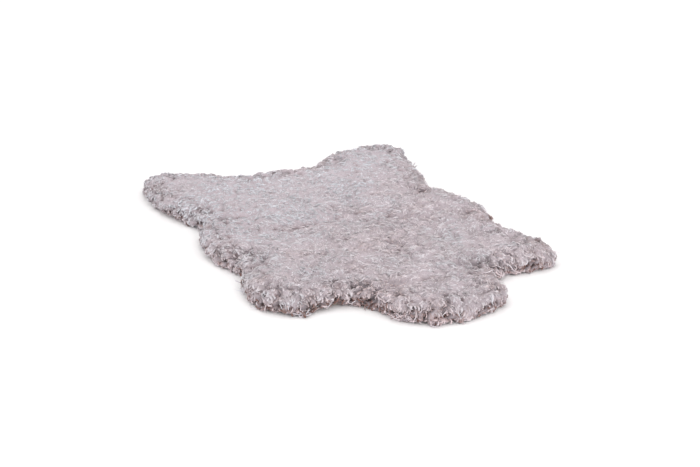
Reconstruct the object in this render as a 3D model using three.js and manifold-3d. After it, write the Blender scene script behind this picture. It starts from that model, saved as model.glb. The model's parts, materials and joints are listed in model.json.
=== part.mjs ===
// A single-pelt sheepskin rug lying flat on the floor: one tanned skin with its wool on.
//
// The pelt is one piece, so it is one solid. Its underside is flat where the skin lies on the
// floor, its top is lumpy where the fleece falls into soft cushions and parts at the legs, and
// locks of wool stand apart round the rim and come down to lie on the floor.
//
// Frame: millimetres, +Z up. X runs across the back and Y along the backbone, with the neck at -Y
// and the rump at +Y. The origin is on the floor, in the middle of the rug's box.
import * as THREE from "three";
import { mergeVertices } from "three/addons/utils/BufferGeometryUtils.js";
import Module from "manifold-3d";

const wasm = await Module();
wasm.setup();

const { lerp, smoothstep } = THREE.MathUtils;

// ---- Driving dimensions -----------------------------------------------------------------------

const PELT_LENGTH = 950; // wool tip to wool tip, from the neck to the hind legs
const PELT_WIDTH = 624; // wool tip to wool tip, across the legs
const PILE_HEIGHT = 38; // from the floor to the middle level of the wool

// One side of the line that the wool reaches, from the rump round to the neck. The other side is
// its mirror image. across is a share of half the width, and along of half the length.
const OUTLINE = [
  { part: "rump middle", across: 0.0, along: 0.82 },
  { part: "rump side", across: 0.3, along: 0.84 },
  { part: "hind leg root", across: 0.45, along: 0.93 },
  { part: "hind leg inner tip", across: 0.66, along: 0.98 },
  { part: "hind leg tip", across: 0.87, along: 0.99 },
  { part: "hind leg outer tip", across: 0.97, along: 0.87 },
  { part: "thigh", across: 0.98, along: 0.67 },
  { part: "haunch", across: 0.92, along: 0.47 },
  { part: "waist", across: 0.84, along: 0.3 },
  { part: "flank", across: 0.92, along: 0.21 },
  { part: "belly", across: 0.97, along: -0.05 },
  { part: "elbow", across: 0.9, along: -0.25 },
  { part: "foreleg", across: 0.99, along: -0.45 },
  { part: "foreleg outer tip", across: 0.97, along: -0.6 },
  { part: "foreleg inner tip", across: 0.87, along: -0.68 },
  { part: "foreleg root", across: 0.52, along: -0.69 },
  { part: "neck root", across: 0.41, along: -0.75 },
  { part: "neck side", across: 0.36, along: -0.91 },
  { part: "neck corner", across: 0.24, along: -0.97 },
  { part: "neck end", across: 0.0, along: -1.0 },
];

// A skin isn't quite even: how far a point of the outline is drawn aside, in mm. side is 1 on the
// right, where X is more than 0, and -1 on the left.
const UNEVEN = [
  { part: "hind leg root", side: 1, moveX: 1, moveY: 7 },
  { part: "hind leg inner tip", side: 1, moveX: 5, moveY: 9 },
  { part: "hind leg tip", side: 1, moveX: 12, moveY: 18 },
  { part: "hind leg outer tip", side: 1, moveX: 27, moveY: 32 },
  { part: "thigh", side: 1, moveX: 3, moveY: 17 },
  { part: "haunch", side: 1, moveX: 3, moveY: 17 },
  { part: "waist", side: 1, moveX: 4, moveY: 7 },
  { part: "elbow", side: 1, moveX: -5, moveY: 8 },
  { part: "foreleg", side: 1, moveX: -7, moveY: -2 },
  { part: "foreleg outer tip", side: 1, moveX: -3, moveY: -6 },
  { part: "foreleg inner tip", side: 1, moveX: 10, moveY: 2 },
  { part: "neck root", side: 1, moveX: 7, moveY: 2 },
  { part: "neck side", side: 1, moveX: 6, moveY: 4 },
  { part: "neck corner", side: -1, moveX: 3, moveY: 7 },
  { part: "neck side", side: -1, moveX: 9, moveY: 9 },
  { part: "foreleg inner tip", side: -1, moveX: 10, moveY: 0 },
  { part: "hind leg outer tip", side: -1, moveX: 8, moveY: 4 },
  { part: "hind leg tip", side: -1, moveX: -4, moveY: -3 },
  { part: "hind leg root", side: -1, moveX: -8, moveY: 0 },
  { part: "rump side", side: -1, moveX: -9, moveY: 2 },
];

// The rim's section: how far inside the outline, in mm, and how high, as a share of the pile.
const RIM = [
  { place: "edge of the skin", inset: 17, height: 0 },
  { place: "behind the locks", inset: 16, height: 0.25 },
  { place: "overhang", inset: 12, height: 0.52 },
  { place: "shoulder", inset: 8, height: 0.77 },
  { place: "crown", inset: 12, height: 0.92 },
  { place: "brow", inset: 19, height: 1.03 },
  { place: "above the fleece", inset: 24, height: 1.35 },
];
const RIM_POINTS = 126;

// The fleece's cushions: two sizes of smooth unevenness laid over each other, in mm.
const LUMPS = [
  { size: 74, rise: 3.6 },
  { size: 43, rise: 2.4 },
];
const FLEECE_CELL = 22; // between the points of the fleece's top

// Where the wool parts in a soft trough. Places are in mm from the middle of the rug.
const PARTINGS = [
  { between: "neck and left foreleg", fromX: -150, fromY: -362, toX: -60, toY: -335, depth: 11 },
  { between: "neck and right foreleg", fromX: 132, fromY: -372, toX: 100, toY: -300, depth: 11 },
  { between: "left flank and foreleg", fromX: -300, fromY: -150, toX: -215, toY: -120, depth: 6 },
  { between: "left haunch and flank", fromX: -265, fromY: 135, toX: -180, toY: 115, depth: 7 },
  { between: "right haunch and flank", fromX: 265, fromY: 135, toX: 190, toY: 105, depth: 7 },
  { between: "back, left", fromX: -185, fromY: 30, toX: -90, toY: 12, depth: 5 },
  { between: "back, middle", fromX: -90, fromY: 12, toX: -20, toY: 40, depth: 6 },
  { between: "back, right", fromX: -20, fromY: 40, toX: 75, toY: 10, depth: 6 },
  { between: "back and right shoulder", fromX: 75, fromY: 10, toX: 116, toY: -63, depth: 4 },
];
const PARTING_WIDTH = 36; // from the middle of a trough to where it has faded out

// A rim lock's section in its own upright plane, in mm: its flat underside and its ridge, each by
// how far it is from the outline, outwards, and its height over the floor.
const LOCK_COUNT = 164;
const LOCK = [
  { place: "root", underOut: -29, under: 21, ridgeOut: -27, ridge: 31, width: 7 },
  { place: "shoulder", underOut: -14, under: 24, ridgeOut: -8, ridge: 33, width: 10 },
  { place: "belly", underOut: -10, under: 13, ridgeOut: -2, ridge: 19, width: 10 },
  { place: "foot", underOut: -8, under: 0.4, ridgeOut: -1, ridge: 6, width: 8 },
];
const LOCK_TIP = { out: 3, height: 0.4 };
const LOCK_SHIFT = 0.25; // how far a root is off its even place, as a share of the spacing
const LOCK_SWAY = 8; // how far a lock's tip may lie to either side of its root
const LOCKS_TOGETHER = 3.3; // about how many neighbours sway the same way
const LOCK_UNEVENNESS = 0.15; // the share by which reach and width differ; height by half of it

// ---- Evenness and chance ----------------------------------------------------------------------

// A number from -1 to 1 that is always the same for the same two whole numbers.
function chance(a, b = 0) {
  const wave = Math.sin(a * 127.1 + b * 311.7) * 43758.5453;
  return 2 * (wave - Math.floor(wave)) - 1;
}

// Smooth unevenness from -1 to 1, with swells of the given size.
function swell(x, y, size) {
  const [column, row] = [Math.floor(x / size), Math.floor(y / size)];
  const u = smoothstep(x / size - column, 0, 1);
  const v = smoothstep(y / size - row, 0, 1);
  const near = lerp(chance(column, row), chance(column + 1, row), u);
  const far = lerp(chance(column, row + 1), chance(column + 1, row + 1), u);
  return lerp(near, far, v);
}

// ---- The outline ------------------------------------------------------------------------------

// A point of the outline, on the right or left side.
function outlinePoint({ part, across, along }, side) {
  const drawn = UNEVEN.find((row) => row.part === part && row.side === side);
  const { moveX, moveY } = drawn ?? { moveX: 0, moveY: 0 };
  const x = (side * across * PELT_WIDTH) / 2 + moveX;
  const y = (along * PELT_LENGTH) / 2 + moveY;
  return new THREE.Vector3(x, y, 0);
}

// The closed curve that the wool reaches, anticlockwise seen from above: down the left side from
// the rump to the neck, and up the right side.
function woolLine() {
  const left = OUTLINE.slice(1, -1).map((row) => outlinePoint(row, -1));
  const right = OUTLINE.map((row) => outlinePoint(row, 1)).reverse();
  return new THREE.CatmullRomCurve3([...left, ...right], true, "centripetal");
}

const line = woolLine();

// A place by the line, at a share of its length, moved outwards (or inwards where out is less
// than 0), lifted to a height, and moved aside along the line.
function byRim(share, out, height, aside = 0) {
  const whole = ((share % 1) + 1) % 1;
  const at = line.getPointAt(whole);
  const along = line.getTangentAt(whole);
  const outwards = new THREE.Vector3(along.y, -along.x, 0);
  return at.addScaledVector(outwards, out).addScaledVector(along, aside).setZ(height);
}

// ---- The fleece -------------------------------------------------------------------------------

// How deep the partings are at a place.
function partingDepth(x, y) {
  const here = new THREE.Vector3(x, y, 0);
  const depths = PARTINGS.map(({ fromX, fromY, toX, toY, depth }) => {
    const from = new THREE.Vector3(fromX, fromY, 0);
    const trough = new THREE.Line3(from, new THREE.Vector3(toX, toY, 0));
    const nearest = trough.closestPointToPoint(here, true, new THREE.Vector3());
    return depth * (1 - smoothstep(nearest.distanceTo(here), 0, PARTING_WIDTH));
  });
  return Math.max(...depths);
}

// The height of the fleece's top at a place.
function fleeceHeight(x, y) {
  const lumps = LUMPS.map(({ size, rise }) => rise * swell(x, y, size));
  return PILE_HEIGHT + lumps.reduce((sum, lump) => sum + lump, 0) - partingDepth(x, y);
}

// A block that is wider and deeper than the rug, with the fleece's lumpy top.
function fleeceBlock() {
  const margin = 2 * FLEECE_CELL;
  const [width, length] = [PELT_WIDTH + margin, PELT_LENGTH + margin];
  const block = new THREE.BoxGeometry(
    width,
    length,
    PILE_HEIGHT,
    Math.round(width / FLEECE_CELL),
    Math.round(length / FLEECE_CELL),
    1,
  );
  const corners = block.attributes.position;
  for (let i = 0; i < corners.count; i++)
    if (corners.getZ(i) > 0) corners.setZ(i, fleeceHeight(corners.getX(i), corners.getY(i)));
  return block;
}

// The rim's section carried round the outline, closed by the skin below and a flat lid. Both fan
// out from their middle.
function rimForm() {
  const points = RIM.flatMap(({ inset, height }) =>
    Array.from({ length: RIM_POINTS }, (_, i) =>
      byRim(i / RIM_POINTS, -inset, height * PILE_HEIGHT),
    ),
  );
  const skinMiddle = points.length;
  const lidMiddle = skinMiddle + 1;
  const lidHeight = RIM.at(-1).height * PILE_HEIGHT;
  points.push(new THREE.Vector3(0, 0, 0), new THREE.Vector3(0, 0, lidHeight));

  const faces = [];
  const lastRow = (RIM.length - 1) * RIM_POINTS;
  for (let i = 0; i < RIM_POINTS; i++) {
    const next = (i + 1) % RIM_POINTS;
    faces.push(skinMiddle, next, i, lidMiddle, lastRow + i, lastRow + next);
    for (let row = 0; row < lastRow; row += RIM_POINTS) {
      const [a, b] = [row + i, row + next];
      faces.push(a, b, b + RIM_POINTS, a, b + RIM_POINTS, a + RIM_POINTS);
    }
  }
  return new THREE.BufferGeometry().setFromPoints(points).setIndex(faces);
}

// One lock: a three-sided strand that leaves the fleece's shoulder, bends over and comes down to
// lie level on the floor. It is lower where the fleece behind it is.
function rimLock(number) {
  const share = (number + LOCK_SHIFT * chance(number, 1)) / LOCK_COUNT;
  const reach = 1 + LOCK_UNEVENNESS * chance(number, 2);
  const wide = 1 + LOCK_UNEVENNESS * chance(number, 3);
  const behind = byRim(share, -FLEECE_CELL, 0);
  const fleece = Math.min(1, fleeceHeight(behind.x, behind.y) / PILE_HEIGHT);
  const high = fleece * (1 + (LOCK_UNEVENNESS / 2) * chance(number, 4));
  const sway = LOCK_SWAY * swell(number, 0, LOCKS_TOGETHER);
  const root = LOCK[0].ridgeOut;
  const reached = (out) => root + (out - root) * reach;
  const swayed = (out) => sway * ((out - root) / (LOCK_TIP.out - root)) ** 2;

  const points = LOCK.flatMap(({ underOut, under, ridgeOut, ridge, width }) => {
    const halfWidth = (wide * width) / 2;
    const aside = swayed(ridgeOut);
    return [
      byRim(share, reached(underOut), high * under, aside - halfWidth),
      byRim(share, reached(underOut), high * under, aside + halfWidth),
      byRim(share, reached(ridgeOut), high * ridge, aside),
    ];
  });
  const tip = points.length;
  points.push(byRim(share, reached(LOCK_TIP.out), high * LOCK_TIP.height, sway));

  const faces = [0, 2, 1];
  for (let ring = 0; ring < LOCK.length; ring++)
    for (let corner = 0; corner < 3; corner++) {
      const a = 3 * ring + corner;
      const b = 3 * ring + ((corner + 1) % 3);
      if (ring === LOCK.length - 1) faces.push(a, b, tip);
      else faces.push(a, b, a + 3, b, b + 3, a + 3);
    }
  return new THREE.BufferGeometry().setFromPoints(points).setIndex(faces);
}

// ---- Joining and placing ----------------------------------------------------------------------

// A closed three.js geometry as a solid of manifold-3d.
function solidOf(geometry) {
  const bare = geometry.clone();
  bare.deleteAttribute("normal");
  bare.deleteAttribute("uv");
  const merged = mergeVertices(bare);
  return new wasm.Manifold(
    new wasm.Mesh({
      numProp: 3,
      vertProperties: merged.attributes.position.array,
      triVerts: new Uint32Array(merged.index.array),
    }),
  );
}

// A solid of manifold-3d as a three.js geometry.
function geometryOf(solid) {
  const { vertProperties, triVerts } = solid.getMesh();
  const geometry = new THREE.BufferGeometry();
  geometry.setAttribute("position", new THREE.BufferAttribute(vertProperties, 3));
  geometry.setIndex(new THREE.BufferAttribute(triVerts, 1));
  geometry.computeVertexNormals();
  return geometry;
}

function pelt() {
  let solid = solidOf(rimForm()).intersect(solidOf(fleeceBlock()));
  for (let number = 0; number < LOCK_COUNT; number++) solid = solid.add(solidOf(rimLock(number)));

  const geometry = geometryOf(solid);
  geometry.computeBoundingBox();
  const middle = geometry.boundingBox.getCenter(new THREE.Vector3());
  const wool = new THREE.MeshStandardMaterial({ color: "#c0b5bb", roughness: 0.95, metalness: 0 });
  const mesh = new THREE.Mesh(geometry, wool);
  mesh.name = "pelt";
  mesh.position.set(-middle.x, -middle.y, 0);
  return mesh;
}

const rug = new THREE.Group();
rug.add(pelt());

export default rug;
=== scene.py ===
# %% [markdown]
# # A sheepskin rug
#
# A sheepskin rug is one piece: a tanned skin with its own wool still on it. From outside in, the
# eye meets curly locks that lie over each other, the dense shade of the underwool between them, and,
# from below, the suede side of the skin. Each of those layers gets its own cell here, and each is
# built on the one before it.
#
# The solid pelt comes first. It is the fixed frame that everything else is fitted to.

# %% Load the pelt
import json
import math

import bpy
import numpy as np
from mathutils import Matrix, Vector, geometry
from mathutils.bvhtree import BVHTree

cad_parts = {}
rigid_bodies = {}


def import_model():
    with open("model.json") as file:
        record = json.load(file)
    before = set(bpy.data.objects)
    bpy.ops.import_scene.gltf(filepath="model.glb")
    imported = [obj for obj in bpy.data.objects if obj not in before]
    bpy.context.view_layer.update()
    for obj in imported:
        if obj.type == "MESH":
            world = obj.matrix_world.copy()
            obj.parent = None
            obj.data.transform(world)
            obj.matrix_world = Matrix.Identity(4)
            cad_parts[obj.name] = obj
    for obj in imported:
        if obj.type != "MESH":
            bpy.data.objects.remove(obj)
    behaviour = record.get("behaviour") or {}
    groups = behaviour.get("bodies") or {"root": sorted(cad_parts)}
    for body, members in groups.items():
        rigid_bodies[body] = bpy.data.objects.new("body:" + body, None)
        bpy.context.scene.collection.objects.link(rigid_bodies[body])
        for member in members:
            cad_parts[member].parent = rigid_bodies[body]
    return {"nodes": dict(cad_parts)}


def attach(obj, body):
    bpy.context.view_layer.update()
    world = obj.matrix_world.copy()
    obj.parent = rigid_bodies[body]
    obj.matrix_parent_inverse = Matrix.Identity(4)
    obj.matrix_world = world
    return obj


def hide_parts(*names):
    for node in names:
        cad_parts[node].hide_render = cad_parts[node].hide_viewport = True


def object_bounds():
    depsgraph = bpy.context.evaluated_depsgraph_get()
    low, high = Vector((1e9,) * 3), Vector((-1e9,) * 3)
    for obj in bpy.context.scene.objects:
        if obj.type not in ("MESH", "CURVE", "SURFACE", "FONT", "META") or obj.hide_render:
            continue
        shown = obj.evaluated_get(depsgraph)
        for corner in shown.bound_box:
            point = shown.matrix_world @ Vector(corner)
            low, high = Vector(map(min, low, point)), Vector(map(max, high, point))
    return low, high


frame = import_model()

solid_low, solid_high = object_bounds()
pelt = frame["nodes"]["pelt"]
scene = bpy.context.scene
MM = 0.001
print("pelt:", [round(side / MM) for side in solid_high - solid_low], "mm")

# %% [markdown]
# ## The camera
#
# The rug is seen from its neck end, a little from the left, and from low down, so that its rim of
# hanging locks shows as well as its top. A long lens keeps the far legs nearly as large as the near
# ones.

# %% Camera
VIEW_AZIMUTH = math.radians(-24.9)
VIEW_ELEVATION = math.radians(20.15)
VIEW_DISTANCE = 3.05
LENS_MM = 77
LOOK_AT = Vector((-4 * MM, 7 * MM, 2 * MM))

towards_camera = Vector((
    math.sin(VIEW_AZIMUTH) * math.cos(VIEW_ELEVATION),
    -math.cos(VIEW_AZIMUTH) * math.cos(VIEW_ELEVATION),
    math.sin(VIEW_ELEVATION),
))
camera = bpy.data.objects.new("camera", bpy.data.cameras.new("camera"))
camera.data.lens = LENS_MM
camera.location = LOOK_AT + towards_camera * VIEW_DISTANCE
camera.rotation_euler = (-towards_camera).to_track_quat("-Z", "Y").to_euler()
scene.collection.objects.link(camera)
scene.camera = camera

# %% [markdown]
# ## Helpers
#
# Colours are picked as sRGB hex codes, and shaders need them linear. Node trees, for materials and
# for geometry, are written as a list of nodes, so one function adds a node, sets it and links it. A
# node named as another's input is linked from the first output it has in use.

# %% Helpers
MATH, VECTOR_MATH = "ShaderNodeMath", "ShaderNodeVectorMath"  # the kinds of node used most


def linear(code):
    """An sRGB hex colour as linear red, green, blue and alpha."""
    shares = [int(code[i:i + 2], 16) / 255 for i in (1, 3, 5)]
    return [c / 12.92 if c <= 0.04045 else ((c + 0.055) / 1.055) ** 2.4 for c in shares] + [1.0]


def add(tree, kind, inputs=None, **settings):
    """Adds a node with its settings. An input is a plain value, or a node or socket to link from."""
    node = tree.nodes.new(kind)
    for name, value in settings.items():
        setattr(node, name, value)
    for name, value in (inputs or {}).items():
        if isinstance(value, bpy.types.Node):
            value = next(output for output in value.outputs if output.enabled)
        if isinstance(value, bpy.types.NodeSocket):
            tree.links.new(value, node.inputs[name])
        else:
            node.inputs[name].default_value = value
    return node


def new_material(name):
    """A material with an empty node tree, and that tree."""
    material = bpy.data.materials.new(name)
    material.use_nodes = True
    material.node_tree.nodes.clear()
    return material, material.node_tree


def new_object(name, points, faces):
    """A smooth mesh object at the origin, with its place in its points."""
    mesh = bpy.data.meshes.new(name)
    mesh.from_pydata([tuple(p) for p in points], [], faces)
    mesh.validate()
    mesh.shade_smooth()
    made = bpy.data.objects.new(name, mesh)
    scene.collection.objects.link(made)
    return made


# %% [markdown]
# ## The skin's edge
#
# The line where the skin was trimmed is the flat underside's rim on the solid pelt. Its corners are
# sorted round the middle, which works because every leg can be seen from there, and a smooth closed
# curve is drawn through them. All the layers start from this curve.

# %% The skin's edge
EDGE_SPACING = 5 * MM
CURVE_STEPS = 12  # from one corner to the next, before the points are spread evenly
UNDERSIDE_BELOW = 0.05 * MM
RIM_BEYOND = 100 * MM  # from the middle: the underside's corners further in aren't on its rim


def smooth_loop(points, spacing):
    """A closed Catmull-Rom curve through the points, as new points evenly along it."""
    before, after, later = (np.roll(points, k, axis=0) for k in (1, -1, -2))
    t = np.linspace(0, 1, CURVE_STEPS, endpoint=False)[:, None, None]
    curve = (
        2 * points
        + (after - before) * t
        + (2 * before - 5 * points + 4 * after - later) * t**2
        + (3 * points - before - 3 * after + later) * t**3
    ) / 2
    curve = curve.transpose(1, 0, 2).reshape(-1, 2)
    closed = np.vstack([curve, curve[:1]])
    along = np.concatenate([[0], np.cumsum(np.linalg.norm(np.diff(closed, axis=0), axis=1))])
    wanted = np.arange(round(along[-1] / spacing)) * spacing
    return np.column_stack([np.interp(wanted, along, closed[:, k]) for k in (0, 1)])


def outward_of(loop):
    """The unit direction outwards at each point of an anticlockwise loop."""
    along = np.roll(loop, -1, axis=0) - np.roll(loop, 1, axis=0)
    outward = np.column_stack([along[:, 1], -along[:, 0]])
    return outward / np.linalg.norm(outward, axis=1, keepdims=True)


corners = np.array([v.co for v in pelt.data.vertices])
underside = np.unique(corners[corners[:, 2] < UNDERSIDE_BELOW].round(6), axis=0)[:, :2]
middle = (underside.min(axis=0) + underside.max(axis=0)) / 2
from_middle = underside - middle
on_rim = np.hypot(*from_middle.T) > RIM_BEYOND
rim_corners = underside[on_rim]
turned = np.arctan2(*from_middle[on_rim].T[::-1])
skin_edge = smooth_loop(rim_corners[np.argsort(turned)], EDGE_SPACING)

# %% [markdown]
# ## Smooth unevenness
#
# Nothing on a fleece is even, but neighbouring spots are alike. Value noise gives that: random
# numbers on a coarse grid, blended smoothly in between. A fixed seed makes every run the same.

# %% Swells
SWELL_GRID = 64  # cells a side, after which the pattern starts again


def swells(points, size, seed):
    """Smooth random numbers from -1 to 1 at flat points, with swells of the given size."""
    grid = np.random.default_rng(seed).uniform(-1, 1, (SWELL_GRID, SWELL_GRID))
    at = points[:, :2] / size + SWELL_GRID / 2
    low = np.floor(at).astype(int)
    u, v = ((at - low) ** 2 * (3 - 2 * (at - low))).T
    column, row = (low % SWELL_GRID).T
    next_column, next_row = (column + 1) % SWELL_GRID, (row + 1) % SWELL_GRID
    near = grid[row, column] * (1 - u) + grid[row, next_column] * u
    far = grid[next_row, column] * (1 - u) + grid[next_row, next_column] * u
    return near * (1 - v) + far * v


def eased(value, low, high):
    """0 below low, 1 above high and smooth in between; the other way round if low is higher."""
    share = np.clip((value - low) / (high - low), 0, 1)
    return share**2 * (3 - 2 * share)


# %% [markdown]
# ## The underwool
#
# Under the locks the wool is so dense that it reads as one soft mass. It is a closed mesh: a fine
# triangle grid over the back, which follows the cushions and partings of the solid at a share of
# their height, and a rounded wall round the rim. The height comes from a ray dropped onto the solid.
# Delaunay triangulation joins the grid to the curved edge without a seam.

# %% Underwool
BED_CELL = 4.6 * MM
ROW_SHARE = 0.866  # of a cell, from one row of the triangle grid to the next
GRID_MARGIN = 9 * MM  # from the skin's edge to the grid
BED_SHARE = 0.93  # of the fleece's height
BED_RIM = [
    {"place": "top", "out": -1 * MM, "height": 31 * MM},
    {"place": "shoulder", "out": 6.5 * MM, "height": 28.5 * MM},
    {"place": "brow", "out": 12.5 * MM, "height": 24 * MM},
    {"place": "wall", "out": 15.5 * MM, "height": 18 * MM},
    {"place": "low wall", "out": 17 * MM, "height": 12.5 * MM},
    {"place": "foot", "out": 16.5 * MM, "height": 7.5 * MM},
    {"place": "heel", "out": 12 * MM, "height": 3.8 * MM},
    {"place": "sole", "out": 1 * MM, "height": 2.6 * MM},
]
BED_UNDERSIDE = 2.2 * MM
BED_SWELLS = [
    {"size": 15 * MM, "height": 1.6 * MM, "seed": 1},
    {"size": 34 * MM, "height": 1.2 * MM, "seed": 2},
]
RIM_ROUGHNESS = 1.2 * MM
RIM_UNEVENNESS = 0.12  # of a ring's height
PULLS = [  # where the rim reaches further out, in mm from the rug's middle
    {"of": "left hind leg, tip", "at": (-312, 418), "out": 8 * MM, "wide": 26 * MM, "below": 50 * MM},
    {"of": "right foreleg, tip", "at": (312, -262), "out": 7 * MM, "wide": 26 * MM, "below": 50 * MM},
    {"of": "left foreleg, foot", "at": (-250, -385), "out": 16 * MM, "wide": 26 * MM, "below": 16 * MM},
    {"of": "neck, foot", "at": (-60, -500), "out": 6 * MM, "wide": 50 * MM, "below": 16 * MM},
]

solid_tree = BVHTree.FromObject(pelt, bpy.context.evaluated_depsgraph_get())


def fleece_height(points):
    """How high the solid's top is over flat points."""
    above = solid_high.z + 0.1
    hits = [solid_tree.ray_cast(Vector((px, py, above)), Vector((0, 0, -1)))[0] for px, py in points]
    return np.array([hit.z if hit else 0 for hit in hits])


def inside(points, loop):
    """Which flat points lie inside the loop, by counting the edges to their right."""
    px, py = points[:, 0, None], points[:, 1, None]
    (ax, ay), (bx, by) = loop.T, np.roll(loop, -1, axis=0).T
    crossing = (ay > py) != (by > py)
    with np.errstate(divide="ignore", invalid="ignore"):
        to_right = px < (bx - ax) * (py - ay) / (by - ay) + ax
    return (crossing & to_right).sum(axis=1) % 2 == 1


def gaps(points, spot):
    """How far flat points are from a spot."""
    return np.hypot(*(points - spot).T)


def edge_near(at):
    """The point of the skin's edge nearest to a place in mm."""
    return skin_edge[gaps(skin_edge, np.array(at) * MM).argmin()]


outward = outward_of(skin_edge)
rings = []
for row in BED_RIM:
    out = np.full(len(skin_edge), row["out"])
    for pull in PULLS:
        gap = gaps(skin_edge, edge_near(pull["at"]))
        if row["height"] < pull["below"]:
            out += pull["out"] * np.exp(-(gap / pull["wide"]) ** 2)
    rings.append(skin_edge + outward * out[:, None])
row_gap = BED_CELL * ROW_SHARE
rows, columns = np.mgrid[solid_low.y:solid_high.y:row_gap, solid_low.x:solid_high.x:BED_CELL]
columns[1::2] += BED_CELL / 2
grid = np.column_stack([columns.ravel(), rows.ravel()])
grid = grid[inside(grid, skin_edge - outward * GRID_MARGIN)]
flat = np.vstack([rings[0], grid])
ring_count = len(skin_edge)
ring_edges = [(i, (i + 1) % ring_count) for i in range(ring_count)]
flat_out, _, top_faces, source, _, _ = geometry.delaunay_2d_cdt(
    [Vector(p) for p in flat], ring_edges, [], 1, 1e-7
)
order = {origin: new for new, origins in enumerate(source) for origin in origins}
flat_out = np.array([tuple(p) for p in flat_out])
print(len(flat_out), "top points,", len(top_faces), "top faces")

deep = np.array([gaps(skin_edge, p).min() for p in flat_out])
bed_top = BED_SHARE * fleece_height(flat_out)
for swell in BED_SWELLS:
    bed_top += swell["height"] * swells(flat_out, swell["size"], swell["seed"])
near_edge = eased(deep, 22 * MM, 5 * MM)
bed_top = bed_top * (1 - near_edge) + BED_RIM[0]["height"] * near_edge

bed_points = [np.column_stack([flat_out, bed_top])]
bed_faces = [tuple(face) for face in top_faces]
upper = [order[i] for i in range(ring_count)]
for row, ring in zip(BED_RIM[1:], rings[1:]):
    first = sum(len(p) for p in bed_points)
    rough = RIM_ROUGHNESS * swells(ring, 13 * MM, 3)
    height = row["height"] * (1 + RIM_UNEVENNESS * swells(ring, 21 * MM, 4))
    ring = ring + outward * rough[:, None]
    bed_points.append(np.column_stack([ring, height]))
    lower = list(range(first, first + ring_count))
    for i, j in ring_edges:
        bed_faces += [(upper[j], upper[i], lower[i]), (upper[j], lower[i], lower[j])]
    upper = lower
bed_points.append(np.array([[*middle, BED_UNDERSIDE]]))
centre = sum(len(p) for p in bed_points) - 1
bed_faces += [(upper[j], upper[i], centre) for i, j in ring_edges]
bed_points = np.vstack(bed_points)

underwool = new_object("underwool", bed_points, bed_faces)
print("underwool:", len(underwool.data.vertices), "points,", len(underwool.data.polygons), "faces")

# %% [markdown]
# ## Which way the wool falls
#
# A lock's look comes mostly from where it leans. On the back the lean wanders in soft swirls, and it
# is always a little uphill, so that the wool opens along the partings and closes over the cushions.
# Towards the rim it turns outwards and then down. Each point of the underwool keeps its lean, how
# long its locks are, how pale and how warm they are, and its region as attributes, which the locks
# will read.

# %% Lean, length, tone and region
SWIRLS = [
    {"size": 170 * MM, "strength": 0.9, "seed": 11},
    {"size": 70 * MM, "strength": 0.7, "seed": 21},
    {"size": 32 * MM, "strength": 0.5, "seed": 31},
]
UPHILL = 2.2
STEEPEST = 0.4  # a steeper slope turns the lean no further
SLOPE_STEP = 12 * MM
SHORTEST_LEAN = 0.35  # a smaller lean isn't stretched to full length
COMBED = np.array([0.25, -0.35])  # the general fall, towards the neck and a little to the right

BANDS = ["shoulder", "ribs", "loin", "haunch"]  # from the neck to the tail
REGIONS = [f"wool_{side}_{band}" for band in BANDS for side in ("left", "right")]

plan = bed_points[:, :2]
slope = np.column_stack([
    fleece_height(plan + step) - fleece_height(plan - step)
    for step in ([SLOPE_STEP, 0], [0, SLOPE_STEP])
]) / (2 * SLOPE_STEP)
deep = np.concatenate([deep, np.zeros(len(bed_points) - len(deep))])
nearest = np.array([gaps(skin_edge, p).argmin() for p in plan])
outwards = outward[nearest]

lean = COMBED + UPHILL * np.clip(slope, -STEEPEST, STEEPEST) * eased(deep, 18 * MM, 40 * MM)[:, None]
for swirl in SWIRLS:
    for axis in (0, 1):
        lean[:, axis] += swirl["strength"] * swells(plan, swirl["size"], swirl["seed"] + axis)
lean /= np.maximum(np.linalg.norm(lean, axis=1, keepdims=True), SHORTEST_LEAN)
rimward = eased(deep, 48 * MM, 8 * MM)[:, None]
lean = lean * (1 - rimward) + outwards * rimward
on_wall = eased(bed_points[:, 2], 22 * MM, 15 * MM)
on_wall[: len(flat_out)] = 0
# Wool sinks a little on the back, more towards the rim, and hangs on the wall.
falling = np.column_stack([lean, -0.1 - 0.7 * on_wall - 0.5 * rimward[:, 0]])
curly = np.maximum(on_wall, 0.6 * eased(deep, 30 * MM, 2 * MM))

# Each look adds up shares: of smooth swells, of the back on the left, and of the rim. The tone is
# painted lighter on the back on the left and darker on the rim's wall, as light and shade.
back_left = eased(plan[:, 1] - 0.6 * plan[:, 0], -80 * MM, 260 * MM)
reach = 1 + 0.12 * swells(plan, 40 * MM, 41) - 0.2 * back_left - 0.1 * rimward[:, 0] - 0.15 * on_wall
tone = 0.62 + 0.08 * swells(plan, 90 * MM, 51) + 0.05 * swells(plan, 30 * MM, 52)
# Painted light on the back to the left, painted shade on the wall.
tone += 0.13 * back_left - 0.12 * on_wall
tufted = 0.55 + 0.45 * eased(deep, 60 * MM, 10 * MM) - 0.2 * back_left
tufted[len(bed_points) - 1 - ring_count:] = 0  # the sole lies flat
band_edges = np.quantile(plan[:, 1], np.linspace(0, 1, len(BANDS) + 1)[1:-1])
region = 2 * np.searchsorted(band_edges, plan[:, 1]) + (plan[:, 0] > np.median(plan[:, 0]))
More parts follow.
